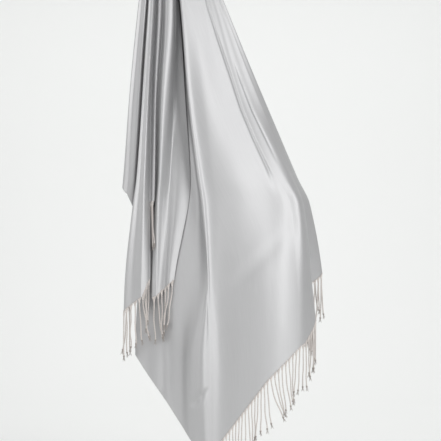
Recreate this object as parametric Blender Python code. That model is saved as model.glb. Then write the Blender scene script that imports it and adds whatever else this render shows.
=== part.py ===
"""A hijab: one plain satin shawl with fringed ends, gathered and hung from one point.

Metres, +Z up. The origin is the held point and the front faces -Y. The cloth is one
continuous sheet. Its fold lines all run down from the held point, and a level cut
through it at any height is one smooth curve through them. Each stretch of the sheet
that shows is its own wall between two of those lines, and each run of fringe is its
own row of strands on a narrow woven strip, just below its stretch's hem.
"""
import bisect
import functools
import math
from collections import namedtuple

import bmesh
import bpy
from mathutils import Vector

MM = 0.001

# Cloth
WALL = 1.0 * MM
SEAM = 0.3 * MM
ROWS = 16
SHARP_ANGLE = 60
ROUGHNESS = 0.45

# Heights of the level cuts that the tables give, as drops below the held point, in mm
CUTS = (250, 450, 600, 650, 800, 950, 1150)

# Above the first cut the folds draw together into the neck, where the walls begin
NECK_DROP = 50
NECK_SQUEEZE = 0.375
NECK_MIDDLE_BELOW = 32.75
NECK_MIDDLE = 2.3

# Head: the bunched selvedge above the neck, as half sizes and the foot's middle
HEAD_TOP = (14 * MM, 7 * MM)
HEAD_FOOT = (29.5 * MM, 11.5 * MM)
HEAD_FOOT_MIDDLE = (2.3 * MM, -0.8 * MM)
HEAD_FLUTES = 13
HEAD_FLUTE_DEPTH = 0.06
HEAD_SIDES = 52
# Each ring of the head: how far up it is, and its size as a share of the taper there
HEAD_RINGS = ((0, 1), (0.25, 1), (0.5, 1), (0.75, 0.98), (0.9, 0.86), (0.98, 0.6), (1, 0.35))

# Fringe
STRIP_HEIGHT = 5 * MM
STRIP_WALL = 1.6 * MM
PARTING = 0.6 * MM
PITCH = 10 * MM
STRAND_WIDTH = 2.4 * MM
STRAND_LENGTH = 95 * MM
STRAND_SWAY = 1.5 * MM
SWAY_STEP = 1.8
LEAN_POWER = 1.5
SWAY_POWER = 2

# A tight fold turns round two lines this far to each side of its middle, in mm
BLUNT = 1.6
BLUNT_COLUMNS = 2

# The cloth's normal is read over this share of the gap between two fold lines
NUDGE = 0.02

# A fold line. Across is its distance to the right and depth its distance back from
# the held point at each of the CUTS, hem is the drop of the cloth's edge on it, all in
# mm. Columns is how many columns of faces lie between it and the next line, and tight
# says whether the cloth turns back sharply there.
Fold = namedtuple("Fold", "name across depth hem columns tight", defaults=(False,))

FOLDS = (
    # The tail, from its free selvedge round the back
    Fold("tail_edge", (55, 97, 126, 134, 150, 156, 162), (23, 49, 68, 74, 90, 96, 102), 716, 3),
    Fold("tail_second_fold", (64, 113, 149, 160, 178, 184, 190), (20, 43, 60, 66, 80, 86, 92), 728, 3),
    Fold("tail_second_crest", (74, 131, 175, 188, 206, 212, 218), (26, 53, 75, 82, 98, 104, 110), 740, 3),
    Fold("tail_fold", (85, 150, 200, 216, 236, 244, 252), (21, 44, 63, 70, 84, 90, 94), 753, 3),
    Fold("tail_crest", (95, 166, 223, 241, 264, 272, 280), (26, 55, 77, 84, 100, 108, 114), 764, 3),
    Fold("tail_turn", (107, 185, 249, 270, 297, 303, 309), (23, 48, 69, 76, 92, 98, 104), 777, 3),
    # The outer stretch and the facet that turns back behind the right fold
    Fold("silhouette", (113, 197, 263, 288, 315, 320, 324), (13, 32, 47, 52, 66, 74, 80), 790, 3, True),
    Fold("inner_turn", (106, 184, 251, 272, 267, 269, 271), (5, 12, 18, 20, 34, 44, 50), 826, 3, True),
    Fold("return_crest", (102, 172, 245, 271, 289, 303, 306), (0, -2, 1, 3, 14, 22, 30), 870, 3, True),
    # The front panel, right to left
    Fold("right_fold", (96, 160, 237, 262, 273, 273, 262), (-6, -14, -16, -16, -14, -14, -14), 922, 3),
    Fold("panel_ridge", (90, 153, 223, 248, 250, 249, 240), (-12, -19, -25, -27, -30, -31, -30), 940, 3),
    Fold("crease", (82, 146, 211, 230, 228, 226, 218), (-9, -14, -23, -26, -28, -30, -28), 965, 3),
    Fold("panel_right", (75, 134, 182, 197, 200, 196, 186), (-14, -24, -31, -33, -27, -24, -22), 993, 4),
    Fold("panel_belly", (67, 112, 143, 152, 152, 148, 142), (-20, -31, -38, -40, -27, -21, -20), 1058, 4),
    Fold("grey_band", (57, 80, 99, 105, 112, 114, 108), (-21, -29, -35, -37, -32, -27, -24), 1110, 3),
    Fold("ridge", (38, 51, 68, 74, 84, 86, 81), (-32, -46, -56, -58, -62, -58, -44), 1145, 3),
    Fold("ridge_foot", (31, 41, 63, 68, 77, 56, 54), (8, 8, -7, -14, -30, -32, -30), 1106, 3),
    Fold("trough", (26, 34, 44, 46, 40, 30, 34), (15, 20, 14, 11, -2, -8, -18), 1070, 3),
    Fold("left_bulge", (14, 13, 10, 8, -2, -8, 0), (19, 26, 25, 24, 14, 2, -10), 1013, 3),
    Fold("rear_crest", (6, 0, -9, -12, -26, -34, -26), (26, 37, 41, 42, 32, 18, 4), 974, 3),
    Fold("left_edge", (-3, -14, -29, -34, -50, -57, -50), (18, 26, 28, 28, 24, 18, 10), 940, 3),
    # Round behind the pleats to the outermost left fold
    Fold("rear_left", (-14, -30, -44, -47, -51, -52, -52), (28, 41, 47, 48, 46, 42, 38), 850, 3),
    Fold("rear_valley", (-24, -42, -53, -53, -54, -55, -55), (18, 28, 33, 34, 34, 32, 28), 752, 3),
    Fold("rear_turn", (-36, -56, -68, -62, -60, -60, -60), (17, 26, 33, 34, 32, 30, 28), 668, 3),
    Fold("left_silhouette", (-47, -66, -77, -82, -88, -90, -92), (4, 6, 9, 10, 12, 12, 12), 620, 3),
    Fold("left_crest", (-40, -57, -67, -71, -77, -79, -81), (-9, -11, -8, -6, -5, -5, -5), 640, 3, True),
    Fold("groove_one", (-31, -45, -54, -58, -65, -67, -69), (3, 6, 8, 9, 8, 8, 8), 850, 3, True),
    # The left pleat
    Fold("pleat_edge", (-29, -43, -53, -59, -70, -71, -71), (-8, -12, -14, -15, -18, -19, -20), 858, 3, True),
    Fold("pleat_crest", (-24, -35, -44, -47, -51, -51, -51), (-15, -22, -27, -28, -31, -32, -32), 831, 3),
    Fold("pleat_side", (-17, -26, -29, -29, -29, -29, -29), (-9, -16, -21, -22, -25, -26, -26), 803, 3),
    Fold("groove_two", (-14, -23, -25, -24, -24, -24, -24), (1, 2, 2, 2, 0, 0, 0), 797, 3, True),
    # The narrow pleat
    Fold("narrow_crest", (-8, -16, -19, -20, -21, -21, -21), (-12, -16, -14, -14, -12, -12, -12), 646, 3, True),
    Fold("groove_three", (0, -10, -14, -15, -16, -19, -20), (2, 3, 5, 5, -3, -8, -8), 640, 3, True),
    # The light ridge and the soft fold out of the valley, to the free selvedge
    Fold("inner_ridge", (8, -1, -7, -9, -11, -12, -12), (-20, -27, -25, -24, -16, -16, -16), 826, 3, True),
    Fold("inner_trough", (14, 9, 6, 4, 0, -2, -2), (-9, -13, -10, -9, -8, -8, -8), 813, 3),
    Fold("inner_crest", (20, 26, 46, 39, 10, 0, 0), (-5, -5, -25, -29, -31, -30, -30), 778, 3),
    Fold("inner_edge", (27, 35, 57, 50, 16, 6, 6), (1, 2, -18, -19, -25, -24, -24), 751, 0),
)

# The front panel's lower outline seen from the front: across and drop in mm. The plain
# selvedge runs down to the lowest corner, and the fringed end runs up from it.
FRONT_OUTLINE = ((-57, 940), (81, 1145), (201, 989), (236, 955), (265, 926), (273, 922))
OUTLINE_STEPS = 12

# Colours, linear
CLOTH_COLOUR = (0.56, 0.56, 0.57, 1.0)
FRINGE_COLOUR = (0.50, 0.49, 0.48, 1.0)


def along(values, drop):
    """Smooth value of a table row at a drop below the held point, straight past its ends."""
    heights = (NECK_DROP,) + CUTS
    place = min(max(bisect.bisect_right(heights, drop) - 1, 0), len(heights) - 2)
    span = heights[place + 1] - heights[place]
    step = (drop - heights[place]) / span

    def slope(at):
        low = max(at - 1, 0)
        high = min(at + 1, len(heights) - 1)
        return (values[high] - values[low]) / (heights[high] - heights[low])

    start, end = values[place], values[place + 1]
    if step < 0:
        return start + slope(place) * span * step
    if step > 1:
        return end + slope(place + 1) * span * (step - 1)
    return hermite(start, end, slope(place) * span, slope(place + 1) * span, step)


def hermite(start, end, slope_start, slope_end, step):
    """Cubic between two values with given slopes."""
    square = step * step
    cube = square * step
    return (
        (2 * cube - 3 * square + 1) * start
        + (cube - 2 * square + step) * slope_start
        + (3 * square - 2 * cube) * end
        + (cube - square) * slope_end
    )


def with_neck(fold):
    """A fold's across and depth rows, each with its value in the neck put first."""
    across = ((fold.across[0] - NECK_MIDDLE_BELOW) * NECK_SQUEEZE + NECK_MIDDLE,) + fold.across
    depth = (fold.depth[0] * NECK_SQUEEZE,) + fold.depth
    return across, depth


LINES = [with_neck(fold) for fold in FOLDS]
OWNERS = [fold for fold in FOLDS for _ in range(2 if fold.tight else 1)]


def place_of(name):
    """A fold's place among the points of a level cut, half way between its two if it is tight."""
    first = [fold.name for fold in OWNERS].index(name)
    return first + 0.5 if OWNERS[first].tight else float(first)


@functools.lru_cache(maxsize=None)
def level_cut(drop):
    """The points of a level cut at one drop, in mm, as (across, depth)."""
    middles = [(along(across, drop), along(depth, drop)) for across, depth in LINES]
    points = []
    for number, (middle, fold) in enumerate(zip(middles, FOLDS)):
        if not fold.tight:
            points.append(middle)
            continue
        before, after = middles[number - 1], middles[number + 1]
        reach = BLUNT / math.dist(before, after)
        for side in (-reach, reach):
            points.append(tuple(m + (a - b) * side for m, b, a in zip(middle, before, after)))
    return points


def on_cut(points, place, step):
    """A point of the smooth curve through a level cut, between fold lines place and place + 1."""
    last = len(points) - 1
    here, ahead = points[place], points[place + 1]
    before = points[place - 1] if place else tuple(2 * h - a for h, a in zip(here, ahead))
    after = points[place + 2] if place + 2 <= last else tuple(2 * a - h for h, a in zip(here, ahead))
    gap_before = math.sqrt(math.dist(before, here))
    gap = math.sqrt(math.dist(here, ahead))
    gap_after = math.sqrt(math.dist(ahead, after))
    result = []
    for b, h, a, f in zip(before, here, ahead, after):
        start = (h - b) / gap_before - (a - b) / (gap_before + gap) + (a - h) / gap
        end = (a - h) / gap - (f - h) / (gap + gap_after) + (f - a) / gap_after
        result.append(hermite(h, a, start * gap, end * gap, step))
    return result


def cloth_point(place, step, drop):
    """A point of the cloth's middle surface, in metres."""
    across, depth = on_cut(level_cut(round(drop, 3)), place, step)
    return Vector((across, depth, -drop)) * MM


def cloth_normal(place, step, drop):
    """The cloth's normal, from small steps along it and down it."""
    sideways = cloth_point(place, step + NUDGE, drop) - cloth_point(place, step - NUDGE, drop)
    down = cloth_point(place, step, drop + 1) - cloth_point(place, step, drop - 1)
    return sideways.cross(down).normalized()


def read_off(line, at):
    """Value of a line of straight pieces, given as (place, value) points, at one place."""
    for (start, low), (end, high) in zip(line, line[1:]):
        if at <= end:
            return low + (high - low) * max((at - start) / (end - start), 0)
    return line[-1][1]


# A stretch of cloth: its first and last fold lines, and the hem's drop on them where
# that isn't the fold's own, because the neighbour's hem ends higher or lower there
Stretch = namedtuple("Stretch", "name first last first_hem last_hem outline")

STRETCHES = (
    Stretch("tail_fall", "tail_edge", "silhouette", None, None, None),
    Stretch("outer_fall", "silhouette", "inner_turn", None, None, None),
    Stretch("right_return", "inner_turn", "right_fold", None, None, None),
    Stretch("front_fall", "right_fold", "left_edge", None, None, FRONT_OUTLINE),
    Stretch("rear_fall", "left_edge", "groove_one", None, 656, None),
    Stretch("left_pleat", "groove_one", "groove_two", None, None, None),
    Stretch("narrow_pleat", "groove_two", "groove_three", 650, None, None),
    Stretch("inner_fall", "groove_three", "inner_edge", 833, None, None),
)


def hem_on(stretch, fold):
    """Drop of a stretch's hem on a fold line."""
    if fold.name == stretch.first and stretch.first_hem:
        return stretch.first_hem
    if fold.name == stretch.last and stretch.last_hem:
        return stretch.last_hem
    return fold.hem


def hem_drop(stretch, place, step):
    """Drop of a stretch's hem between two fold lines."""
    if stretch.outline:
        drop = OWNERS[place].hem
        for _ in range(OUTLINE_STEPS):
            drop = read_off(stretch.outline, on_cut(level_cut(round(drop, 3)), place, step)[0])
        return drop
    start, end = hem_on(stretch, OWNERS[place]), hem_on(stretch, OWNERS[place + 1])
    return start + (end - start) * step


def columns_of(stretch):
    """The (place, step) of every column of a stretch."""
    first, last = place_of(stretch.first), place_of(stretch.last)
    columns = []
    for place in range(math.floor(first), math.ceil(last)):
        fold = OWNERS[place]
        count = BLUNT_COLUMNS if fold is OWNERS[place + 1] else fold.columns
        columns += [(place, part / count) for part in range(count) if first <= place + part / count < last]
    columns.append((math.ceil(last) - 1, last - math.ceil(last) + 1))
    return columns


def trimmed(stretch, place, step, drop):
    """A column's step, moved in by half a seam where the column is the stretch's side edge."""
    points = level_cut(round(drop, 3))
    half_seam = SEAM / MM / 2 / math.dist(points[place], points[place + 1])
    if place + step == place_of(stretch.first):
        return step + half_seam
    if place + step == place_of(stretch.last):
        return step - half_seam
    return step


def new_object(name, bm, colour):
    """An object with its own Principled material from a finished bmesh."""
    bmesh.ops.recalc_face_normals(bm, faces=bm.faces)
    mesh = bpy.data.meshes.new(name)
    bm.to_mesh(mesh)
    bm.free()
    mesh.shade_smooth()
    mesh.set_sharp_from_angle(angle=math.radians(SHARP_ANGLE))
    material = bpy.data.materials.new(name + "_material")
    material.use_nodes = True
    shader = material.node_tree.nodes["Principled BSDF"]
    shader.inputs["Base Color"].default_value = colour
    shader.inputs["Roughness"].default_value = ROUGHNESS
    shader.inputs["Metallic"].default_value = 0.0
    mesh.materials.append(material)
    result = bpy.data.objects.new(name, mesh)
    bpy.context.scene.collection.objects.link(result)
    return result


def add_grid(bm, rows):
    """Triangles between rows of vertices, split alike everywhere so that a wall keeps its thickness."""
    for upper, lower in zip(rows, rows[1:]):
        for a, b, c, d in zip(upper, upper[1:], lower[1:], lower):
            bm.faces.new((a, b, c))
            bm.faces.new((a, c, d))


def wall_pair(stretch, place, step, drop):
    """The wall's two surface points at a column and drop."""
    at = trimmed(stretch, place, step, drop)
    point = cloth_point(place, at, drop)
    offset = cloth_normal(place, at, drop) * (WALL / 2)
    return point + offset, point - offset


def cloth_wall(stretch):
    """A closed wall over a stretch's middle surface, from the neck to its hem."""
    bm = bmesh.new()
    sides = ([], [])
    for row in range(ROWS + 1):
        rows = ([], [])
        for place, step in columns_of(stretch):
            drop = NECK_DROP + (hem_drop(stretch, place, step) - NECK_DROP) * row / ROWS
            for corners, spot in zip(rows, wall_pair(stretch, place, step, drop)):
                corners.append(bm.verts.new(spot))
        sides[0].append(rows[0])
        sides[1].append(rows[1])
    add_grid(bm, sides[0])
    add_grid(bm, sides[1])
    add_grid(bm, (sides[1][0], sides[0][0]))
    add_grid(bm, (sides[0][-1], sides[1][-1]))
    add_grid(bm, ([row[0] for row in sides[0]], [row[0] for row in sides[1]]))
    add_grid(bm, ([row[-1] for row in sides[1]], [row[-1] for row in sides[0]]))
    return new_object(stretch.name, bm, CLOTH_COLOUR)


def gathered_head():
    """The bunched selvedge, a fluted bundle that narrows to the held point."""
    bm = bmesh.new()
    foot = -(NECK_DROP * MM - SEAM)
    rings = []
    for rise, size in HEAD_RINGS:
        corners = []
        for side in range(HEAD_SIDES):
            turn = math.tau * side / HEAD_SIDES
            flute = (1 + HEAD_FLUTE_DEPTH * math.cos(HEAD_FLUTES * turn)) * size
            spot = [middle * (1 - rise) + (low + (high - low) * rise) * flute * wave
                    for middle, low, high, wave in zip(HEAD_FOOT_MIDDLE, HEAD_FOOT, HEAD_TOP,
                                                       (math.cos(turn), math.sin(turn)))]
            corners.append(bm.verts.new((*spot, foot * (1 - rise))))
        rings.append(corners)
    for lower, upper in zip(rings, rings[1:]):
        for side in range(HEAD_SIDES):
            after = (side + 1) % HEAD_SIDES
            bm.faces.new((lower[side], lower[after], upper[after], upper[side]))
    bm.faces.new(rings[-1])
    bm.faces.new(reversed(rings[0]))
    return new_object("gathered_head", bm, CLOTH_COLOUR)


# A run of fringe: the stretch it hangs from and the fold lines between which it runs.
# Lean is how far the strands' ends stray along the hem, in mm, at shares of the run. The
# front fringe parts a third of the way along, and the strands before the gap splay.
Fringe = namedtuple("Fringe", "name stretch first last lean")

FRINGES = (
    Fringe("tail_fringe", "tail_fall", "tail_edge", "silhouette", ((0, 4), (1, 2))),
    Fringe("outer_fringe", "outer_fall", "silhouette", "inner_turn", ((0, 2), (1, -2))),
    Fringe("return_fringe", "right_return", "inner_turn", "right_fold", ((0, -2), (1, 2))),
    Fringe("front_fringe", "front_fall", "right_fold", "ridge",
           ((0, 1), (0.1, 0), (0.31, -25), (0.32, -3), (1, 4))),
    Fringe("left_fringe", "left_pleat", "groove_one", "groove_two", ((0, 2), (1, 5))),
    Fringe("narrow_fringe", "narrow_pleat", "groove_two", "narrow_crest", ((0, 8), (1, 2))),
    Fringe("inner_fringe", "inner_fall", "groove_three", "inner_edge", ((0, 2), (1, -4))),
)

# A strand's outline, top to bottom: share of its length and width as a share of
# STRAND_WIDTH. It is twisted thin and ends in a knot.
Ring = namedtuple("Ring", "share width")
STRAND = (Ring(0.5, 0.8), Ring(0.88, 0.9), Ring(0.94, 1.6), Ring(1.0, 0.9))


def hem_edge(stretch, first, last):
    """The wall's hem between two fold lines: (length so far, front point, back point) per column."""
    edge = []
    length = 0.0
    for place, step in columns_of(stretch):
        if place_of(first) <= place + step <= place_of(last):
            pair = wall_pair(stretch, place, step, hem_drop(stretch, place, step))
            if edge:
                length += ((pair[0] + pair[1]) / 2 - (edge[-1][1] + edge[-1][2]) / 2).length
            edge.append((length, *pair))
    return edge


def edge_pair(edge, length):
    """The hem's two surface points at a length along it."""
    for before, after in zip(edge, edge[1:]):
        if length <= after[0]:
            share = (length - before[0]) / (after[0] - before[0])
            return before[1].lerp(after[1], share), before[2].lerp(after[2], share)
    return edge[-1][1:]


def strip_corners(bm, pair):
    """Corners of the woven strip's cut below a hem: upper front, upper back, lower back, lower front."""
    middle = (pair[0] + pair[1]) / 2
    half = (pair[0] - pair[1]) * (STRIP_WALL / WALL / 2)
    top = Vector((0, 0, -PARTING))
    foot = Vector((0, 0, -PARTING - STRIP_HEIGHT))
    spots = (middle + half + top, middle - half + top, middle - half + foot, middle + half + foot)
    return [bm.verts.new(spot) for spot in spots]


def add_strand(bm, root, lean, sway):
    """A four-sided strand hanging from the strip's lower face between two cuts."""
    centre = sum((corner.co for corner in root), Vector()) / 4
    side = (root[3].co - root[0].co)
    side.z = 0
    side.normalize()
    through = Vector((-side.y, side.x, 0))
    if through.dot(root[1].co - root[0].co) < 0:
        through = -through
    above = root
    for ring in STRAND:
        drift = side * lean * ring.share ** LEAN_POWER + through * sway * ring.share ** SWAY_POWER
        middle = centre + drift - Vector((0, 0, STRAND_LENGTH * ring.share))
        half = STRAND_WIDTH * ring.width / 2
        below = [bm.verts.new(middle + side * s * half + through * d * half)
                 for s, d in ((-1, -1), (-1, 1), (1, 1), (1, -1))]
        for corner in range(4):
            after = (corner + 1) % 4
            bm.faces.new((above[corner], above[after], below[after], below[corner]))
        above = below
    bm.faces.new(above)


def strand_places(total):
    """Lengths along a hem at which strands hang, evenly spaced."""
    count = max(round(total / PITCH), 1)
    return [total * (number + 0.5) / count for number in range(count)]


def fringe(run):
    """A narrow strip along a hem, with a strand at every pitch, as one body."""
    stretch = next(item for item in STRETCHES if item.name == run.stretch)
    edge = hem_edge(stretch, run.first, run.last)
    places = strand_places(edge[-1][0])
    half = STRAND_WIDTH / 2
    cuts = {place - half: None for place in places}
    for number, place in enumerate(places):
        cuts[place - half] = number
    cuts.update({place + half: None for place in places})
    for length, _, _ in edge:
        if all(abs(length - place) > half + SEAM for place in places):
            cuts[length] = None
    bm = bmesh.new()
    lengths = sorted(cuts)
    rings = [strip_corners(bm, edge_pair(edge, length)) for length in lengths]
    for length, start, end in zip(lengths, rings, rings[1:]):
        for a, b in ((0, 1), (1, 2), (2, 3), (3, 0)):
            if a == 2 and cuts[length] is not None:
                share = cuts[length] / max(len(places) - 1, 1)
                lean = read_off(run.lean, share) * MM
                sway = STRAND_SWAY * math.sin(cuts[length] * SWAY_STEP)
                add_strand(bm, (start[3], start[2], end[2], end[3]), lean, sway)
            else:
                bm.faces.new((start[a], start[b], end[b], end[a]))
    bm.faces.new(rings[0])
    bm.faces.new(rings[-1])
    return new_object(run.name, bm, FRINGE_COLOUR)


for old in list(bpy.data.objects):
    bpy.data.objects.remove(old)

gathered_head()
for piece in STRETCHES:
    cloth_wall(piece)
for run_of_strands in FRINGES:
    fringe(run_of_strands)
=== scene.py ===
import math
import random
from collections import namedtuple

import bpy
import numpy as np
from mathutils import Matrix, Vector


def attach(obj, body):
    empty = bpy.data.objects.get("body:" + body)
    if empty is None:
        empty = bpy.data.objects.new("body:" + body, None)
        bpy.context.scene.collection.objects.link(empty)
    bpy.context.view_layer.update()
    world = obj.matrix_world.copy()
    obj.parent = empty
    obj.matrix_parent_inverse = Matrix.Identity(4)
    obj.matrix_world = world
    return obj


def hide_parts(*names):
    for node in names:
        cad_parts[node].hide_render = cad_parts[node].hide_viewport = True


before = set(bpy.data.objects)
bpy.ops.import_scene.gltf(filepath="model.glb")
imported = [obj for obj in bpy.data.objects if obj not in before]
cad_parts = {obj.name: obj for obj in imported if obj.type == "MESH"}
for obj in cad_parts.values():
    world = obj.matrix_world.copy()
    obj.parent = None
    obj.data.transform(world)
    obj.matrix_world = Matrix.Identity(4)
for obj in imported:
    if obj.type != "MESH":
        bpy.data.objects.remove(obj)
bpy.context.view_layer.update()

# The shawl's sheet. One rectangle of satin, woven whole with plain selvedges and no seam. It is
# held by the middle of a long selvedge, so it falls in folds that fan out from there.

# A fold is given by how far across and back from the held point it lies at each of these drops
# below it, and by the drop of its hem, all in mm. A tight fold is a sharp turn of the cloth.
CUTS = (250, 450, 600, 650, 800, 950, 1150)

Fold = namedtuple("Fold", "name across depth hem tight", defaults=(False,))
FOLDS = (
    # The tail: one end of the cloth carried round the back, from its free selvedge
    Fold("tail_edge", (55, 97, 126, 134, 150, 156, 162), (23, 49, 68, 74, 90, 96, 102), 716),
    Fold("tail_second_fold", (64, 113, 149, 160, 178, 184, 190), (20, 43, 60, 66, 80, 86, 92), 728),
    Fold("tail_second_crest", (74, 131, 175, 188, 206, 212, 218), (26, 53, 75, 82, 98, 104, 110), 740),
    Fold("tail_fold", (85, 150, 200, 216, 236, 244, 252), (21, 44, 63, 70, 84, 90, 94), 753),
    Fold("tail_crest", (95, 166, 223, 241, 264, 272, 280), (26, 55, 77, 84, 100, 108, 114), 764),
    Fold("tail_turn", (107, 185, 249, 270, 297, 303, 309), (23, 48, 69, 76, 92, 98, 104), 777),
    # The outer stretch, and the facet that turns back from the front panel
    Fold("silhouette", (113, 197, 263, 288, 315, 320, 324), (-3, 13, 38, 50, 66, 74, 80), 790, True),
    Fold("inner_turn", (107, 187, 253, 272, 267, 269, 271), (-6.8, 2.5, 9, 18, 34, 44, 50), 826, True),
    Fold("return_crest", (101, 173, 246, 271, 289, 303, 306), (-8.4, -4.2, -7, 2, 14, 22, 30), 870),
    # The broad front panel, up to its tall ridge
    Fold("right_fold", (96, 160, 237, 262, 273, 273, 262), (-9.5, -10, -14, -15, -13, -12, -12), 922),
    Fold("panel_ridge", (90, 150, 217, 242, 256, 254, 242),
         (-12, -14.5, -20, -19.8, -22.5, -22.5, -22), 940),
    Fold("crease", (83, 142, 205, 226, 230, 228, 218), (-14.7, -17.5, -23.5, -23.5, -32, -32, -28), 965),
    Fold("panel_right", (75, 130, 178, 196, 202, 198, 186), (-17.8, -21, -30, -28.5, -36.7, -37, -32), 993),
    Fold("panel_belly", (67, 107, 140, 150, 150, 150, 142),
         (-20.8, -28, -39, -37, -39.5, -39.2, -35), 1058),
    Fold("grey_band", (52, 80, 98, 107, 103, 108, 107), (-26, -36, -44.3, -41.5, -42, -40, -38.5), 1110),
    Fold("ridge_shoulder", (38.5, 56.8, 76.3, 84, 91, 93, 94),
         (-30.9, -39, -46.2, -43.8, -44.3, -43.5, -42), 1128),
    Fold("ridge_crest", (33.5, 50.3, 68.8, 76, 85, 74, 82),
         (-32.3, -41, -48.4, -46.5, -46.8, -49.5, -46.5), 1139),
    Fold("ridge", (31.5, 48, 66, 73.2, 82.5, 60, 72), (-30, -38.8, -45.8, -44.2, -44.7, -44, -43), 1145),
    # The same panel beyond its ridge: the valley, and the cloth behind the left pleats
    Fold("ridge_foot", (30.5, 45.5, 64, 69, 69, 47, 54), (8, 1, -13, -19, -33, -34, -34), 1106),
    Fold("trough", (25, 38, 47, 47, 38, 34, 36), (14, 10, -5, -9.5, -17, -21, -23), 1070),
    Fold("left_bulge", (14, 13, 10, 8, -2, 4, 4), (19, 25, 16, 12, -5, -7, -13), 1013),
    Fold("rear_crest", (6, 0, -9, -12, -26, -34, -26), (26, 37, 41, 40, 18, -3, -6), 974),
    Fold("left_edge", (-3, -14, -29, -34, -50, -57, -50), (18, 26, 28, 26, 17, 9, 4), 940),
    # The hidden stretch behind the pleats, and the outermost fold on the left
    Fold("rear_left", (-14, -30, -44, -47, -51, -52, -52), (28, 41, 47, 46, 40, 34, 30), 800),
    Fold("rear_valley", (-24, -42, -53, -53, -54, -55, -55), (18, 28, 33, 34, 34, 32, 28), 700),
    Fold("rear_turn", (-36, -56, -68, -62, -60, -60, -60), (17, 26, 33, 34, 32, 30, 28), 640),
    Fold("left_silhouette", (-47, -67, -78, -82, -88, -90, -92),
         (-9.9, -12, -11.9, -11.5, -10.2, -10, -10), 620, True),
    Fold("left_middle", (-41.5, -59, -67.5, -73, -80, -82, -84),
         (-9.9, -11.9, -11.8, -11.4, -10.1, -10, -10), 632),
    Fold("left_crest", (-34.5, -48, -56, -59.5, -70, -72, -74),
         (-10.1, -12.1, -12, -11.6, -10.2, -10, -10), 655, True),
    # The flat left pleat, between two grooves
    Fold("groove_one", (-31, -42.5, -51, -55.5, -65, -67, -69), (-2, -4, -2, -1, 0, 0, 0), 850, True),
    Fold("pleat_edge", (-28.5, -41, -51.5, -58, -74, -76, -76),
         (-15.9, -21.6, -21.9, -22.4, -23, -23, -23), 858, True),
    Fold("pleat_middle", (-25, -36.5, -45, -49, -59, -60, -60),
         (-16, -21.6, -21.9, -22.4, -23, -23, -23), 844),
    Fold("pleat_crest", (-20, -30.5, -36.5, -38, -42, -42, -42),
         (-16.3, -21.9, -22.2, -22.6, -23.2, -23.2, -23.2), 831, True),
    Fold("pleat_side", (-17, -27.5, -30.5, -31, -31, -31, -31), (-8, -12.5, -15, -16, -18, -18, -18), 803),
    Fold("groove_two", (-14.5, -24.5, -26, -26, -26, -26, -26), (-2, -4.5, -7, -9, -13, -13, -13), 797, True),
    # The narrow pleat beside it
    Fold("narrow_crest", (-8, -17, -19.5, -20, -20.5, -20.5, -20.5),
         (-12.5, -16, -16, -15, -14, -14, -14), 646, True),
    Fold("groove_three", (-1, -10.5, -14.5, -17, -22, -23, -23), (-7, -10, -8, -9, -13, -13, -13), 640, True),
    # The light ridge and the soft fold beside the valley, to the free selvedge
    Fold("inner_ridge", (4.5, -2.5, -8, -12, -15, -15, -15), (-20, -27, -25, -21, -16, -15, -15), 830),
    Fold("inner_trough", (16.5, 9.5, 4, -1, -8, -9, -9), (-18.5, -21.5, -17, -15, -13, -13, -13), 824),
    Fold("inner_streak", (22, 18, 13, 9.5, 0, -3, -3), (-13, -1, -8.5, -9, -12.5, -14, -14), 817, True),
    Fold("inner_crest", (25, 27, 28, 24, 9, 4, 4), (-7, 3.5, -12, -15.5, -18, -18.5, -18.5), 808),
    Fold("inner_edge", (28, 41.5, 51, 48, 20, 12, 12), (0, 3.5, -8.5, -11.2, -14.5, -15.5, -15.5), 798),
)

# Above the first cut the folds are drawn together to the neck, which repeats that cut smaller
NECK_DROP = 50
NECK_SQUEEZE = 0.375
NECK_MIDDLE = 2.3
FIRST_CUT_MIDDLE = 32.75

# A tight fold takes up two points of a cut, this far to each side of it
TURN_HALF_WIDTH = 1.6

DROPS = np.array((NECK_DROP, *CUTS), float)
ACROSS = np.array([((fold.across[0] - FIRST_CUT_MIDDLE) * NECK_SQUEEZE + NECK_MIDDLE, *fold.across)
                   for fold in FOLDS])
DEPTH = np.array([(fold.depth[0] * NECK_SQUEEZE, *fold.depth) for fold in FOLDS])
OWNERS = [fold for fold in FOLDS for _ in range(2 if fold.tight else 1)]


def cubic(start, end, slope_start, slope_end, step):
    """Smooth value between two values with given slopes."""
    square = step * step
    cube = square * step
    return ((2 * cube - 3 * square + 1) * start + (cube - 2 * square + step) * slope_start
            + (3 * square - 2 * cube) * end + (cube - square) * slope_end)


def fold_values(rows, drops):
    """Where every fold lies at each drop, straight past the first and last cuts."""
    place = np.clip(np.searchsorted(DROPS, drops, side="right") - 1, 0, len(DROPS) - 2)
    span = DROPS[place + 1] - DROPS[place]
    step = (drops - DROPS[place]) / span
    before = np.clip(np.arange(len(DROPS)) - 1, 0, None)
    after = np.clip(np.arange(len(DROPS)) + 1, None, len(DROPS) - 1)
    slopes = (rows[:, after] - rows[:, before]) / (DROPS[after] - DROPS[before])
    start = slopes[:, place] * span
    end = slopes[:, place + 1] * span
    values = cubic(rows[:, place], rows[:, place + 1], start, end, np.clip(step, 0, 1))
    return values + start * np.minimum(step, 0) + end * np.maximum(step - 1, 0)


def cut_points(drops):
    """Points of the level cut at each drop, with one more past each end."""
    lines = np.stack([fold_values(ACROSS, drops), fold_values(DEPTH, drops)], axis=-1)
    points = []
    for number, fold in enumerate(FOLDS):
        if not fold.tight:
            points.append(lines[number])
            continue
        chord = lines[number + 1] - lines[number - 1]
        reach = chord * TURN_HALF_WIDTH / np.linalg.norm(chord, axis=-1, keepdims=True)
        points += [lines[number] - reach, lines[number] + reach]
    return np.array([2 * points[0] - points[1], *points, 2 * points[-1] - points[-2]])


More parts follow.
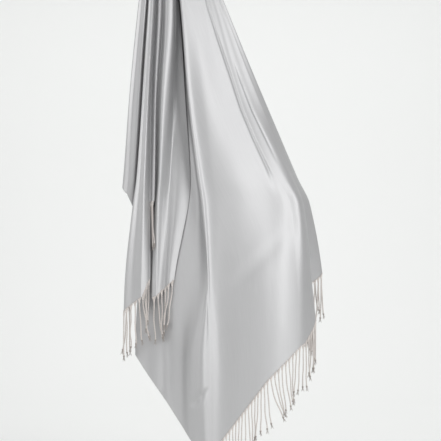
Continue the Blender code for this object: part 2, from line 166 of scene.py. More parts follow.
def smooth_sheet(places, drops):
    """Points of the sheet before its creases, in mm, at places among the folds and at drops."""
    points = cut_points(drops)
    place = np.clip(np.floor(places).astype(int), 0, len(OWNERS) - 2)
    step = (places - place)[:, None]
    pick = np.arange(len(places))
    before, here, ahead, after = (points[place + k, pick] for k in range(4))
    gaps = [np.sqrt(np.linalg.norm(b - a, axis=1, keepdims=True))
            for a, b in ((before, here), (here, ahead), (ahead, after))]
    start = (here - before) / gaps[0] - (ahead - before) / (gaps[0] + gaps[1]) + (ahead - here) / gaps[1]
    end = (ahead - here) / gaps[1] - (after - here) / (gaps[1] + gaps[2]) + (after - ahead) / gaps[2]
    level = cubic(here, ahead, start * gaps[1], end * gaps[1], step)
    return np.column_stack([level, -drops])


def place_of(name):
    """A fold's place among the points of a cut, half-way between the two points of a tight one."""
    first = [fold.name for fold in OWNERS].index(name)
    return first + (0.5 if OWNERS[first].tight else 0)


# The creases. Soft lines that handling left in the satin, shallower than its folds. Each is a
# ridge or a trough between two folds, along a path given as across, drop, half width and lift
# in mm. The lift is towards the cloth's outer face.
Crease = namedtuple("Crease", "first last path")
CREASES = (
    # The long crease down the front panel's right
    Crease("right_fold", "panel_belly", (
        (52, 60, 1.5, 0), (84, 266, 2.2, -0.9), (106, 334, 2.6, -1.2), (132, 409, 2.8, -1.3),
        (151, 469, 2.8, -1.3), (175, 527, 3, -1.3), (202, 585, 3.6, -1.6), (222, 630, 8, 0))),
    # The second line beside it
    Crease("inner_turn", "panel_ridge", (
        (136, 375, 1.5, 0), (149, 411, 2, -0.8), (172, 470, 2.2, -1), (200, 528, 2.5, -0.7),
        (222, 575, 3, 0))),
    # The broad trough that runs down and inwards from the right fold
    Crease("right_fold", "grey_band", (
        (264, 655, 10, 0), (240, 700, 18, -0.5), (200, 745, 22, -1.1), (152, 795, 20, -0.7),
        (132, 830, 16, 0))),
    # The fine line that doubles the tall ridge
    Crease("grey_band", "ridge", (
        (84, 770, 1.8, 0), (85, 815, 1.8, -0.6), (87, 880, 1.8, -0.6), (88, 920, 2, 0))),
    # The dimple above the lowest corner
    Crease("panel_belly", "trough", (
        (82, 1002, 4, 0), (76, 1010, 7, -2.5), (62, 1030, 7, -2.5), (56, 1040, 4, 0))),
    # The trough on the lower left
    Crease("trough", "left_edge", (
        (6, 850, 12, 0), (4, 885, 12, -3), (5, 1000, 12, -3), (12, 1070, 12, 0))),
    # Two on the tail and one behind the left pleats, all on the hidden side
    Crease("tail_second_crest", "tail_fold", (
        (95, 300, 2.5, 0), (126, 400, 3, 1.2), (161, 520, 3.5, 1.5), (192, 620, 4, 1.2),
        (207, 690, 5, 0))),
    Crease("tail_fold", "tail_turn", (
        (140, 360, 3, 0), (172, 450, 3.5, -1.3), (212, 560, 4, -1.6), (236, 640, 5, -1),
        (250, 700, 6, 0))),
    Crease("rear_crest", "rear_valley", (
        (-12, 300, 3, 0), (-26, 420, 4, 1.3), (-38, 540, 5, 1.5), (-46, 630, 6, 0.8),
        (-49, 680, 6, 0))),
)
CREASE_MARGIN = 0.5

# The slight unevenness of hung cloth, as waves: radians for each fold and each mm down, height in
# mm, and start
Ripple = namedtuple("Ripple", "across down height start")
RIPPLES = (
    Ripple(2.3, 0.006, 0.20, 0.4),
    Ripple(3.9, -0.009, 0.10, 1.9),
    Ripple(0.9, 0.021, 0.30, 3.1),
)

# Short steps along the sheet, from which the way it faces is found
NUDGE_ACROSS = 0.02
NUDGE_DOWN = 1.0


def relief(places, drops, across):
    """How far the creases and the cloth's own unevenness lift the sheet, in mm."""
    lift = np.zeros(len(places))
    for crease in CREASES:
        path = np.array(crease.path, float)
        low, high = sorted((place_of(crease.first), place_of(crease.last)))
        middle, width, height = (np.interp(drops, path[:, 1], path[:, k]) for k in (0, 2, 3))
        within = (places > low - CREASE_MARGIN) & (places < high + CREASE_MARGIN)
        within &= (drops > path[0, 1]) & (drops < path[-1, 1])
        lift += height * np.exp(-((across - middle) / width) ** 2) * within
    for wave in RIPPLES:
        lift += wave.height * np.sin(places * wave.across + drops * wave.down + wave.start)
    return lift


def facing(surface, places, drops):
    """Unit normals of a surface of places and drops."""
    sideways = surface(places + NUDGE_ACROSS, drops) - surface(places - NUDGE_ACROSS, drops)
    down = surface(places, drops + NUDGE_DOWN) - surface(places, drops - NUDGE_DOWN)
    normals = np.cross(sideways, down)
    return normals / np.linalg.norm(normals, axis=1, keepdims=True)


def sheet(places, drops):
    """Points of the finished sheet, in mm."""
    points = smooth_sheet(places, drops)
    lift = relief(places, drops, points[:, 0])
    return points + facing(smooth_sheet, places, drops) * lift[:, None]


# The satin. Viscose, woven with long floats: a soft, broad lustre that takes the cloth's own
# grey, and no sparkle, so it is half metallic and softly rough. The real threads, 0.15 mm apart,
# are too fine to show, so the warp is drawn as streaks 1.2 mm wide and the weft 0.9 mm.
SATIN_LIGHT = "#c2c2c3"
SATIN_DARK = "#b9b9ba"
SATIN_ROUGHNESS = 0.47
SATIN_METALLIC = 0.5
SATIN_SPECULAR = 0.6
WARP_WIDTH = 1.2
WARP_LENGTH = 60.0
WEFT_WIDTH = 0.9
WEFT_LENGTH = 3.6
SATIN_BUMP = 0.08
SATIN_BUMP_HEIGHT = 0.0004

# A colour Mix node's factor, two colours and result, which share their names with others on it
MIX_FACTOR, MIX_DARK, MIX_LIGHT, MIX_RESULT = 0, 6, 7, 2


def linear(hex_colour):
    """An sRGB hex colour as the linear colour that shaders take."""
    parts = [int(hex_colour[k:k + 2], 16) / 255 for k in (1, 3, 5)]
    return [p / 12.92 if p <= 0.04045 else ((p + 0.055) / 1.055) ** 2.4 for p in parts] + [1.0]


def add(tree, kind, settings=None, links=None):
    """A node with its settings, its inputs set or linked by name."""
    node = tree.nodes.new(kind)
    for key, value in (settings or {}).items():
        setattr(node, key, value)
    for key, value in (links or {}).items():
        if isinstance(value, bpy.types.NodeSocket):
            tree.links.new(value, node.inputs[key])
        else:
            node.inputs[key].default_value = value
    return node


def finish(name, settings):
    """A new material with its shader's own settings."""
    material = bpy.data.materials.new(name)
    material.use_nodes = True
    for key, value in settings.items():
        material.node_tree.nodes["Principled BSDF"].inputs[key].default_value = value
    return material


def satin():
    """Satin of warp streaks and weft threads that follow the cloth's own UV map."""
    material = finish("woven_viscose_satin", {
        "Roughness": SATIN_ROUGHNESS, "Metallic": SATIN_METALLIC, "Specular IOR Level": SATIN_SPECULAR})
    tree = material.node_tree
    shader = tree.nodes["Principled BSDF"]
    uv = add(tree, "ShaderNodeUVMap", {"uv_map": "weave_mm"}).outputs["UV"]
    warp_place = add(tree, "ShaderNodeMapping", None,
                     {"Vector": uv, "Scale": (1 / WARP_WIDTH, 1 / WARP_LENGTH, 1)})
    warp = add(tree, "ShaderNodeTexNoise", {"noise_dimensions": "2D"},
               {"Vector": warp_place.outputs[0], "Scale": 1.0, "Detail": 3.0})
    weft_place = add(tree, "ShaderNodeMapping", None,
                     {"Vector": uv, "Scale": (1 / WEFT_LENGTH, 1 / WEFT_WIDTH, 1)})
    weft = add(tree, "ShaderNodeTexNoise", {"noise_dimensions": "2D"},
               {"Vector": weft_place.outputs[0], "Scale": 1.0, "Detail": 2.0})
    tone = add(tree, "ShaderNodeMix", {"data_type": "RGBA"},
               {MIX_FACTOR: warp.outputs["Fac"], MIX_DARK: linear(SATIN_DARK),
                MIX_LIGHT: linear(SATIN_LIGHT)})
    tree.links.new(tone.outputs[MIX_RESULT], shader.inputs["Base Color"])
    height = add(tree, "ShaderNodeMath", {"operation": "ADD"},
                 {0: warp.outputs["Fac"], 1: weft.outputs["Fac"]})
    bump = add(tree, "ShaderNodeBump", None,
               {"Height": height.outputs[0], "Strength": SATIN_BUMP, "Distance": SATIN_BUMP_HEIGHT})
    tree.links.new(bump.outputs["Normal"], shader.inputs["Normal"])
    return material


SATIN = satin()

# The falling cloth. Eight stretches of the one sheet, each a thin shell between two folds, from
# the neck down to its hem or selvedge. Each meets its neighbour edge to edge.
CLOTH_THICKNESS = 0.35
CLOTH_TOP = 50
CLOTH_ROWS = 124
COLUMNS_PER_FOLD = 11
COLUMNS_ROUND_A_TURN = 6
MM = 0.001

# The front panel's lower edge seen from the front, as across and drop, from the selvedge on the
# left to the lowest corner and up the hem. It is found in rounds, because the folds lean.
FRONT_OUTLINE = ((-57, 946), (81, 1145), (201, 989), (236, 955), (265, 926), (273, 922))
OUTLINE_ROUNDS = 12

# A stretch's flat is the cut of what shows, width by length, in metres, and its area is what is
# used of that. Where it shares a fold with a neighbour, its own hem there may hang elsewhere.
Stretch = namedtuple("Stretch", "name first last flat area first_hem last_hem outline",
                     defaults=(None, None, None))
STRETCHES = (
    Stretch("tail_fall", "tail_edge", "silhouette", (0.20, 0.79), 0.089),
    Stretch("outer_fall", "silhouette", "inner_turn", (0.06, 0.83), 0.017),
    Stretch("right_return", "inner_turn", "right_fold", (0.09, 0.92), 0.025),
    Stretch("front_fall", "right_fold", "left_edge", (0.48, 1.15), 0.256, outline=FRONT_OUTLINE),
    Stretch("rear_fall", "left_edge", "groove_one", (0.18, 0.94), 0.070, last_hem=668),
    Stretch("left_pleat", "groove_one", "groove_two", (0.10, 0.86), 0.042),
    Stretch("narrow_pleat", "groove_two", "groove_three", (0.04, 0.65), 0.014, first_hem=650),
    Stretch("inner_fall", "groove_three", "inner_edge", (0.12, 0.83), 0.045, first_hem=833),
)


def hem_on(stretch, fold):
    """Drop of a stretch's hem on a fold."""
    if fold.name == stretch.first and stretch.first_hem:
        return stretch.first_hem
    if fold.name == stretch.last and stretch.last_hem:
        return stretch.last_hem
    return fold.hem


def hem_drops(stretch, places):
    """Drop of a stretch's hem at each place."""
    place = np.clip(np.floor(places).astype(int), 0, len(OWNERS) - 2)
    hems = np.array([hem_on(stretch, fold) for fold in OWNERS], float)
    drops = hems[place] + (hems[place + 1] - hems[place]) * (places - place)
    if stretch.outline:
        outline = np.array(stretch.outline, float)
        for _ in range(OUTLINE_ROUNDS):
            drops = np.interp(smooth_sheet(places, drops)[:, 0], outline[:, 0], outline[:, 1])
    return drops


def column_places(first_fold, last_fold):
    """Places of the columns from one fold to another, close together round tight turns."""
    first, last = place_of(first_fold), place_of(last_fold)
    columns = []
    for place in range(math.floor(first), math.ceil(last)):
        turning = OWNERS[place] is OWNERS[place + 1]
        count = COLUMNS_ROUND_A_TURN if turning else COLUMNS_PER_FOLD
        columns += [place + part / count for part in range(count)]
    return np.array([place for place in columns if first <= place < last] + [last])


def shell_faces(rows, columns):
    """Corners of a shell's faces: its outer side, its inner side and its four cut rims."""
    outer = np.arange(rows * columns).reshape(rows, columns)
    inner = outer + rows * columns
    sides = (
        (outer[:-1, :-1], outer[:-1, 1:], outer[1:, 1:], outer[1:, :-1]),
        (inner[:-1, :-1], inner[1:, :-1], inner[1:, 1:], inner[:-1, 1:]),
        (outer[0, 1:], outer[0, :-1], inner[0, :-1], inner[0, 1:]),
        (outer[-1, :-1], outer[-1, 1:], inner[-1, 1:], inner[-1, :-1]),
        (outer[:-1, 0], outer[1:, 0], inner[1:, 0], inner[:-1, 0]),
        (outer[1:, -1], outer[:-1, -1], inner[:-1, -1], inner[1:, -1]),
    )
    return np.concatenate([np.stack([corner.ravel() for corner in side], axis=1) for side in sides])


def shell(name, grid_places, grid_drops):
    """A thin closed shell over a grid of places and drops, with its weave's own UV map in mm."""
    rows, columns = grid_places.shape
    places, drops = grid_places.ravel(), grid_drops.ravel()
    points = sheet(places, drops)
    normals = facing(sheet, places, drops)
    half = normals * CLOTH_THICKNESS / 2
    faces = shell_faces(rows, columns)
    mesh = bpy.data.meshes.new(name)
    mesh.from_pydata((np.concatenate([points + half, points - half]) * MM).tolist(), [], faces.tolist())
    mesh.update()
    mesh.shade_smooth()

    # Both sides are shaded by the sheet's own normals, and the cut rims flat
    loops = np.concatenate([normals, -normals])[faces].reshape(-1, 3)
    broad = 2 * (rows - 1) * (columns - 1)
    rims = np.array([polygon.normal for polygon in mesh.polygons[broad:]])
    loops[broad * 4:] = np.repeat(rims, 4, axis=0)
    mesh.normals_split_custom_set(loops.tolist())

    # The weave is laid out by the distance across the cloth and the drop
    width = np.linalg.norm(np.diff(points.reshape(rows, columns, 3), axis=1), axis=2)
    along = np.concatenate([np.zeros((rows, 1)), np.cumsum(width, axis=1)], axis=1)
    weave = np.stack([along, grid_drops], axis=-1).reshape(-1, 2)
    weave = np.concatenate([weave, weave])
    layer = mesh.uv_layers.new(name="weave_mm")
    layer.data.foreach_set("uv", weave[faces.ravel()].astype(np.float32).ravel())

    mesh.materials.append(SATIN)
    piece = bpy.data.objects.new(name, mesh)
    bpy.context.scene.collection.objects.link(piece)
    return piece


for stretch in STRETCHES:
    columns = column_places(stretch.first, stretch.last)
    shares = np.linspace(0, 1, CLOTH_ROWS + 1)[:, None]
    drops = CLOTH_TOP + (hem_drops(stretch, columns) - CLOTH_TOP) * shares
    piece = shell(stretch.name + "_cloth", np.broadcast_to(columns, drops.shape), drops)
    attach(piece, "root")
    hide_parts(stretch.name)

# The gathered head. The same sheet runs on above the neck to the held point, its folds
# drawn together into one bunch that a hand or a peg closes round.
HEAD_TOP = 1.5
HEAD_ROWS = 16

columns = column_places("tail_edge", "inner_edge")
drops = np.linspace(HEAD_TOP, CLOTH_TOP, HEAD_ROWS + 1)[:, None] + np.zeros(len(columns))
head = shell("gathered_head_cloth", np.broadcast_to(columns, drops.shape), drops)
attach(head, "root")
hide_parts("gathered_head")

# The fringe. Warp ends left unwoven at the short sides, gathered at the hem by a small knot,
# twisted into two-ply strands about 10 mm apart, knotted again near the end and left to fray.
STRAND_PITCH = 10
FEWEST_STRANDS = 3
STRAND_LENGTH = 84
STRAND_POINTS = 26
LEAN_POWER = 1.5
SWAY_POWER = 2

# How unevenly the strands hang: their lengths, the waves along them and how they bunch together
LENGTH_STRAY = (-7, 4)
WAVES = (0.8, 1.6)
WAVE_SHARE = (0.08, 0.3)
BUNCHING = 0.9
BUNCH_TURN = 1.1

# The threads that feed a strand from inside the hem, to both sides of it
ROOT_LENGTH = 7
ROOT_SPREAD = 3.6
ROOT_THREADS = (-1, -0.4, 0.35, 1)
ROOT_INSIDE_HEM = 0.6
ROOT_INSIDE_STRAND = 2.0
ROOT_BEND = 0.65
ROOT_THICKNESS = 0.55

# Points along a hem from which each strand's place and direction are read
HEM_SAMPLES = 1500
HEM_NUDGE = 2
UP = np.array([0.0, 0.0, 1.0])

# A run's lean is how far along the hem its strands' ends hang, from its first strand at 0 to its
# last at 1, and its stray is how unevenly they do, both in mm
Run = namedtuple("Run", "name stretch first last lean stray")
RUNS = (
    Run("tail_fringe", "tail_fall", "tail_edge", "silhouette", ((0, 4), (1, 2)), 5),
    Run("outer_fringe", "outer_fall", "silhouette", "inner_turn", ((0, 2), (1, -2)), 5),
    Run("return_fringe", "right_return", "inner_turn", "right_fold", ((0, -2), (1, 2)), 6),
    Run("front_fringe", "front_fall", "right_fold", "ridge",
        ((0, 1), (0.1, 0), (0.31, -25), (0.32, -3), (1, 4)), 5),
    Run("left_fringe", "left_pleat", "groove_one", "groove_two", ((0, 2), (1, 5)), 7),
    Run("narrow_fringe", "narrow_pleat", "groove_two", "narrow_crest", ((0, 8), (1, 2)), 4),
    Run("inner_fringe", "inner_fall", "groove_three", "inner_edge", ((0, 2), (1, -4)), 9),
)


def strand_lines(run, rng):
    """A run's strands and the threads that feed them: each one's centre line, and if it is a strand."""
    stretch = next(item for item in STRETCHES if item.name == run.stretch)
    places = np.linspace(place_of(run.first), place_of(run.last), HEM_SAMPLES)
    hem = sheet(places, hem_drops(stretch, places))
    lengths = np.concatenate([[0], np.cumsum(np.linalg.norm(np.diff(hem, axis=0), axis=1))])

    def on_hem(length):
        return np.array([np.interp(length, lengths, hem[:, axis]) for axis in range(3)])

    count = max(round(lengths[-1] / STRAND_PITCH), FEWEST_STRANDS)
    lean = np.array(run.lean, float)
    share = np.linspace(0, 1, STRAND_POINTS)[:, None]
    lines = []
    for number in range(count):
        at = lengths[-1] * (number + 0.5) / count
        side = on_hem(at + HEM_NUDGE) - on_hem(at - HEM_NUDGE)
        side[2] = 0
        side /= np.linalg.norm(side)
        through = np.array([-side[1], side[0], 0])
        start = on_hem(at) - UP * ROOT_LENGTH
        lean_here = np.interp(number / max(count - 1, 1), lean[:, 0], lean[:, 1])
        lean_here += run.stray * (BUNCHING * math.sin(BUNCH_TURN * number) + rng.uniform(-0.5, 0.5))
        sway = rng.uniform(-0.5, 0.5) * run.stray
        length = STRAND_LENGTH - ROOT_LENGTH + rng.uniform(*LENGTH_STRAY)
        waves = rng.uniform(*WAVES)
        phase = rng.uniform(0, math.tau)
        wave = run.stray * rng.uniform(*WAVE_SHARE) * np.sin(math.tau * waves * share + phase) * share
        line = (start + side * (lean_here * share ** LEAN_POWER + wave)
                + through * sway * share ** SWAY_POWER - UP * length * share)
        lines.append((line, True))
        for offset in ROOT_THREADS:
            top = on_hem(at + offset * ROOT_SPREAD) + UP * ROOT_INSIDE_HEM
            bend = top * (1 - ROOT_BEND) + start * ROOT_BEND
            lines.append((np.array([top, bend, start - UP * ROOT_INSIDE_STRAND]), False))
    return lines


def open_lines(name, lines):
    """An object that is a mesh of open lines."""
    vertices, edges = [], []
    for line in lines:
        first = len(vertices)
        vertices += line.tolist()
        edges += [(first + k, first + k + 1) for k in range(len(line) - 1)]
    mesh = bpy.data.meshes.new(name)
    mesh.from_pydata(vertices, edges, [])
    drawn = bpy.data.objects.new(name, mesh)
    bpy.context.scene.collection.objects.link(drawn)
    return drawn


# What marks the two ends of a strand, for the pieces that go there
HEAD_MARK = 1.0
TIP_MARK = 2.0
MARK_MARGIN = 0.1


def drawn_run(run, rng):
    """A run's lines as an object, each point with its thickness, mark and direction of hang."""
    lines = strand_lines(run, rng)
    drawn = open_lines(run.name + "_lines", [line * MM for line, strand in lines])
    thick, marks, hang = [], [], []
    for line, strand in lines:
        thick += [1.0 if strand else ROOT_THICKNESS] * len(line)
        ends = (HEAD_MARK, TIP_MARK) if strand else (0.0, 0.0)
        marks += [ends[0]] + [0.0] * (len(line) - 2) + [ends[1]]
        direction = line[-1] - line[-2]
        hang += (direction / np.linalg.norm(direction)).tolist() * len(line)
    for key, kind, field, values in (("thick", "FLOAT", "value", thick), ("mark", "FLOAT", "value", marks),
                                     ("hang", "FLOAT_VECTOR", "vector", hang)):
        drawn.data.attributes.new(key, kind, "POINT").data.foreach_set(field, values)
    return drawn


# An overhand knot: its wraps round the strand, in units of the knot's radius
KNOT_RADIUS = 1.7
KNOT_POINTS = 26
KNOT_TURNS = 2.2
KNOT_WAIST = 0.55
KNOT_SWELL = 0.25
KNOT_HEIGHT = 1.8


def knot_line():
    """A knot's wraps as a line about the origin."""
    share = np.linspace(0, 1, KNOT_POINTS)
    turn = math.tau * KNOT_TURNS * share
    reach = KNOT_WAIST + KNOT_SWELL * np.sin(math.pi * share)
    return np.column_stack([np.cos(turn) * reach, np.sin(turn) * reach, (0.5 - share) * KNOT_HEIGHT])


# The loose fibre ends below a knot, in units of their length
FRAY_LENGTH = 10
FRAY_ENDS = 9
FRAY_POINTS = 5
FRAY_CORE = 0.05
FRAY_TURN_STRAY = 0.3
FRAY_SPREAD = (0.08, 0.3)
FRAY_SHORTEST = 0.65
FRAY_POWER = 1.4


def fray_lines(rng):
    """A knot's fibre ends as lines from the origin down."""
    share = np.linspace(0, 1, FRAY_POINTS)
    lines = []
    for number in range(FRAY_ENDS):
        turn = math.tau * number / FRAY_ENDS + rng.uniform(-FRAY_TURN_STRAY, FRAY_TURN_STRAY)
        spread = rng.uniform(*FRAY_SPREAD)
        length = rng.uniform(FRAY_SHORTEST, 1.0)
        reach = FRAY_CORE + spread * share ** FRAY_POWER
        lines.append(np.column_stack([np.cos(turn) * reach, np.sin(turn) * reach, -share * length]))
    return lines


# Twisted viscose yarn: combed fibre in the open, so it is matte and paler than the satin. The
# shade that the knots and frayed ends hold is painted into a darker copy of the yarn. Single
# fibres are too fine to show, so they are drawn as clumps of about 1.1 mm.
FIBRE_CLUMPS_PER_METRE = 900.0
YARN_SHEEN = 0.3
YARN_BUMP = 0.3
YARN_BUMP_HEIGHT = 0.0003


def yarn(name, light, dark, roughness):
    """Yarn mottled between two shades by its clumps of fibre."""
    material = finish(name, {"Roughness": roughness, "Sheen Weight": YARN_SHEEN})
    tree = material.node_tree
    shader = tree.nodes["Principled BSDF"]
    place = add(tree, "ShaderNodeTexCoord").outputs["Object"]
    fibres = add(tree, "ShaderNodeTexNoise", None,
                 {"Vector": place, "Scale": FIBRE_CLUMPS_PER_METRE, "Detail": 2.0})
    tone = add(tree, "ShaderNodeMix", {"data_type": "RGBA"},
               {MIX_FACTOR: fibres.outputs["Fac"], MIX_DARK: linear(dark), MIX_LIGHT: linear(light)})
    tree.links.new(tone.outputs[MIX_RESULT], shader.inputs["Base Color"])
    bump = add(tree, "ShaderNodeBump", None,
               {"Height": fibres.outputs["Fac"], "Strength": YARN_BUMP, "Distance": YARN_BUMP_HEIGHT})
    tree.links.new(bump.outputs["Normal"], shader.inputs["Normal"])
    return material


TWISTED_YARN = yarn("twisted_viscose_yarn", "#e9e3df", "#d2cbc6", 0.7)
# The same yarn made darker: painted shade for the knots at the strands' tips and the frayed ends
SHADE_PAINTED_END_YARN = yarn("knotted_frayed_yarn", "#bdb5b0", "#9c948f", 0.8)

# The twist of two plies, and the threads of the knots and frayed ends, as shares of a ply's radius
PLY_RADIUS = 0.85
PLY_SIDES = 5
PLY_OFFSET = 0.85
TWIST_PITCH = 6.5
TWIST_STEP = 1.2
KNOT_THREAD = 0.95
KNOT_SIDES = 5
FRAY_THREAD = 0.3
FRAY_SIDES = 3
SPIN_SEED = 5


def fringe_tree(knot, fray):
    """Geometry nodes that twist, knot and fray the strands drawn by a mesh of lines."""
    tree = bpy.data.node_groups.new("twisted_fringe", "GeometryNodeTree")
    for key, kind, default in (("Ply radius", "NodeSocketFloat", PLY_RADIUS * MM),
                               ("Twist pitch", "NodeSocketFloat", TWIST_PITCH * MM),
                               ("Knot radius", "NodeSocketFloat", KNOT_RADIUS * MM),
                               ("Fray length", "NodeSocketFloat", FRAY_LENGTH * MM),
                               ("Seed", "NodeSocketInt", SPIN_SEED)):
        socket = tree.interface.new_socket(key, in_out="INPUT", socket_type=kind)
        socket.default_value = default
    tree.interface.new_socket("Geometry", in_out="INPUT", socket_type="NodeSocketGeometry")
    tree.interface.move(tree.interface.items_tree["Geometry"], 0)
    tree.interface.new_socket("Geometry", in_out="OUTPUT", socket_type="NodeSocketGeometry")
    given = tree.nodes.new("NodeGroupInput").outputs
    thick, mark, hang = (
        add(tree, "GeometryNodeInputNamedAttribute", {"data_type": kind}, {"Name": key}).outputs["Attribute"]
        for key, kind in (("thick", "FLOAT"), ("mark", "FLOAT"), ("hang", "FLOAT_VECTOR")))

    # Two plies side by side, swept along each line and turned once for each twist pitch
    curves = add(tree, "GeometryNodeMeshToCurve", None, {"Mesh": given["Geometry"]})
    along = tree.nodes.new("GeometryNodeSplineParameter")
    turns = add(tree, "ShaderNodeMath", {"operation": "DIVIDE"},
                {0: along.outputs["Length"], 1: given["Twist pitch"]})
    angle = add(tree, "ShaderNodeMath", {"operation": "MULTIPLY"}, {0: turns.outputs[0], 1: math.tau})
    fine = add(tree, "GeometryNodeResampleCurve", {"mode": "LENGTH"},
               {"Curve": curves.outputs[0], "Length": TWIST_STEP * MM})
    tilted = add(tree, "GeometryNodeSetCurveTilt", None,
                 {"Curve": fine.outputs[0], "Tilt": angle.outputs[0]})
    sized = add(tree, "GeometryNodeSetCurveRadius", None, {"Curve": tilted.outputs[0], "Radius": thick})
    circle = add(tree, "GeometryNodeCurvePrimitiveCircle", None,
                 {"Resolution": PLY_SIDES, "Radius": given["Ply radius"]})
    plies = tree.nodes.new("GeometryNodeJoinGeometry")
    for offset in (PLY_OFFSET, -PLY_OFFSET):
        shift = add(tree, "ShaderNodeMath", {"operation": "MULTIPLY"}, {0: given["Ply radius"], 1: offset})
        apart = add(tree, "ShaderNodeCombineXYZ", None, {"X": shift.outputs[0]})
        moved = add(tree, "GeometryNodeTransform", None,
                    {"Geometry": circle.outputs[0], "Translation": apart.outputs[0]})
        tree.links.new(moved.outputs[0], plies.inputs[0])
    swept = add(tree, "GeometryNodeCurveToMesh", None,
                {"Curve": sized.outputs[0], "Profile Curve": plies.outputs[0], "Fill Caps": True})
    strands = add(tree, "GeometryNodeSetMaterial", None,
                  {"Geometry": swept.outputs[0], "Material": TWISTED_YARN})
    joined = tree.nodes.new("GeometryNodeJoinGeometry")
    tree.links.new(strands.outputs[0], joined.inputs[0])

    # Knots and frayed ends hang as their strand does, each spun round it by its own angle
    upwards = add(tree, "ShaderNodeVectorMath", {"operation": "SCALE"}, {0: hang, "Scale": -1.0})
    hanging = add(tree, "FunctionNodeAlignRotationToVector", {"axis": "Z"}, {"Vector": upwards.outputs[0]})
    spin = add(tree, "FunctionNodeRandomValue", {"data_type": "FLOAT"},
               {2: 0.0, 3: math.tau, "Seed": given["Seed"]})
    spun = add(tree, "FunctionNodeAxisAngleToRotation", None, {"Axis": (0, 0, 1), "Angle": spin.outputs[1]})
    turned = add(tree, "FunctionNodeRotateRotation", {"rotation_space": "LOCAL"},
                 {"Rotation": hanging.outputs[0], "Rotate By": spun.outputs[0]})
    # The tip knots and the frayed ends take the yarn with painted shade, the head knots the plain yarn
    for source, size, thread, sides, end, material in (
            (knot, given["Knot radius"], KNOT_THREAD, KNOT_SIDES, HEAD_MARK, TWISTED_YARN),
            (knot, given["Knot radius"], KNOT_THREAD, KNOT_SIDES, TIP_MARK, SHADE_PAINTED_END_YARN),
            (fray, given["Fray length"], FRAY_THREAD, FRAY_SIDES, TIP_MARK, SHADE_PAINTED_END_YARN)):
        chosen = add(tree, "FunctionNodeCompare", {"data_type": "FLOAT", "operation": "EQUAL"},
                     {0: mark, 1: end, "Epsilon": MARK_MARGIN})
        line = add(tree, "GeometryNodeObjectInfo", None, {"Object": source})
        path = add(tree, "GeometryNodeMeshToCurve", None, {"Mesh": line.outputs["Geometry"]})
        scale = add(tree, "ShaderNodeCombineXYZ", None, {"X": size, "Y": size, "Z": size})
        scaled = add(tree, "GeometryNodeTransform", None,
                     {"Geometry": path.outputs[0], "Scale": scale.outputs[0]})
        radius = add(tree, "ShaderNodeMath", {"operation": "MULTIPLY"}, {0: given["Ply radius"], 1: thread})
        round_thread = add(tree, "GeometryNodeCurvePrimitiveCircle", None,
                           {"Resolution": sides, "Radius": radius.outputs[0]})
        form = add(tree, "GeometryNodeCurveToMesh", None,
                   {"Curve": scaled.outputs[0], "Profile Curve": round_thread.outputs[0],
                    "Fill Caps": True})
        placed = add(tree, "GeometryNodeInstanceOnPoints", None,
                     {"Points": given["Geometry"], "Selection": chosen.outputs[0],
                      "Instance": form.outputs[0], "Rotation": turned.outputs[0]})
        finished = add(tree, "GeometryNodeSetMaterial", None,
                       {"Geometry": placed.outputs[0], "Material": material})
        tree.links.new(finished.outputs[0], joined.inputs[0])
    whole = add(tree, "GeometryNodeRealizeInstances", None, {"Geometry": joined.outputs[0]})
    smooth = add(tree, "GeometryNodeSetShadeSmooth", None, {"Geometry": whole.outputs[0]})
    out = tree.nodes.new("NodeGroupOutput")
    tree.links.new(smooth.outputs[0], out.inputs[0])
    return tree


STRAND_SEED = 11
strand_rng = random.Random(STRAND_SEED)
knot_source = open_lines("knot_line", [knot_line()])
fray_source = open_lines("fray_lines", fray_lines(strand_rng))
twisting = fringe_tree(knot_source, fray_source)
for run in RUNS:
    drawn = drawn_run(run, strand_rng)
    drawn.modifiers.new("fringe", "NODES").node_group = twisting
    graph = bpy.context.evaluated_depsgraph_get()
    mesh = bpy.data.meshes.new_from_object(drawn.evaluated_get(graph))
    piece = bpy.data.objects.new(run.name + "_strands", mesh)
    bpy.context.scene.collection.objects.link(piece)
    bpy.data.objects.remove(drawn)
    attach(piece, "root")
    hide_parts(run.name)
bpy.data.objects.remove(knot_source)
bpy.data.objects.remove(fray_source)

# The room. One pale floor under the shawl that sweeps up behind it into a wall, far enough
# back to fall away evenly. It is matte emulsion paint, with no gloss at all.
FLOOR_DROP = 1.34
FLOOR_FRONT = -4.0
SWEEP_START = 1.6
SWEEP_RADIUS = 1.2
SWEEP_PARTS = 16
WALL_TOP = 3.0
HALF_ROOM = 5.0
PAINT = "#f4f5f4"
PAINT_ROUGHNESS = 0.9

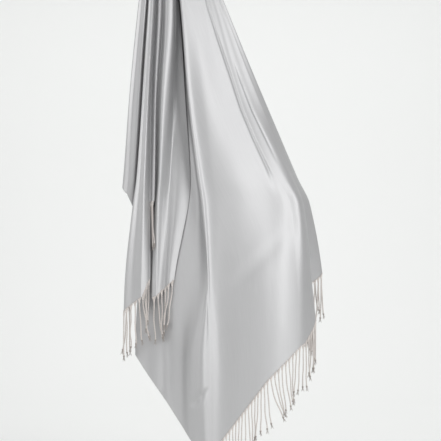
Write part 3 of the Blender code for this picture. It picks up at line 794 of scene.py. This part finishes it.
outline = [(FLOOR_FRONT, -FLOOR_DROP), (SWEEP_START, -FLOOR_DROP)]
for part in range(1, SWEEP_PARTS + 1):
    turn = math.pi / 2 * part / SWEEP_PARTS
    outline.append((SWEEP_START + SWEEP_RADIUS * math.sin(turn),
                    -FLOOR_DROP + SWEEP_RADIUS * (1 - math.cos(turn))))
outline.append((SWEEP_START + SWEEP_RADIUS, WALL_TOP))
corners = [(x, y, z) for y, z in outline for x in (-HALF_ROOM, HALF_ROOM)]
strips = [(2 * k, 2 * k + 1, 2 * k + 3, 2 * k + 2) for k in range(len(outline) - 1)]
room_mesh = bpy.data.meshes.new("room")
room_mesh.from_pydata(corners, [], strips)
room_mesh.shade_smooth()
paint = finish("pale_matte_paint", {
    "Base Color": linear(PAINT), "Roughness": PAINT_ROUGHNESS, "Specular IOR Level": 0.0})
room_mesh.materials.append(paint)
room = bpy.data.objects.new("room", room_mesh)
bpy.context.scene.collection.objects.link(room)

# The light. A tall soft box in front on the right picks out the folds that turn that way, and a
# weaker, wider one on the left fills their far sides. A long one above and behind the shawl
# lights the backdrop alone, and an even sky softens all the shade.
VIEW_MIDDLE = (0.110, 0.0, -0.6835)
SKY = 0.46

Lamp = namedtuple("Lamp", "name place aim size power")
LAMPS = (
    Lamp("key_box", (1.42, -1.87, -0.20), VIEW_MIDDLE, (0.8, 2.2), 25),
    Lamp("fill_box", (-1.81, -1.61, -0.2), VIEW_MIDDLE, (2.0, 2.2), 13),
    Lamp("backdrop_box", (0.11, 1.2, 0.9), (0.11, 2.1, -2.1), (4.4, 0.6), 27),
)
for lamp in LAMPS:
    light = bpy.data.lights.new(lamp.name, "AREA")
    light.shape = "RECTANGLE"
    light.size, light.size_y = lamp.size
    light.energy = lamp.power
    holder = bpy.data.objects.new(lamp.name, light)
    holder.location = lamp.place
    holder.rotation_euler = (Vector(lamp.aim) - Vector(lamp.place)).to_track_quat("-Z", "Y").to_euler()
    bpy.context.scene.collection.objects.link(holder)
world = bpy.data.worlds.new("even_sky")
world.use_nodes = True
world.node_tree.nodes["Background"].inputs["Color"].default_value = (1.0, 1.0, 1.0, 1.0)
world.node_tree.nodes["Background"].inputs["Strength"].default_value = SKY
bpy.context.scene.world = world
bpy.context.scene.view_settings.view_transform = "Standard"

# The camera. Level and square to the front, as far off as the photo's flat look needs.
CAMERA_DISTANCE = 2.03
CAMERA_LENS = 85

camera = bpy.data.cameras.new("camera")
camera.lens = CAMERA_LENS
eye = bpy.data.objects.new("camera", camera)
eye.location = (VIEW_MIDDLE[0], -CAMERA_DISTANCE, VIEW_MIDDLE[2])
eye.rotation_euler = (math.pi / 2, 0, 0)
bpy.context.scene.collection.objects.link(eye)
bpy.context.scene.camera = eye
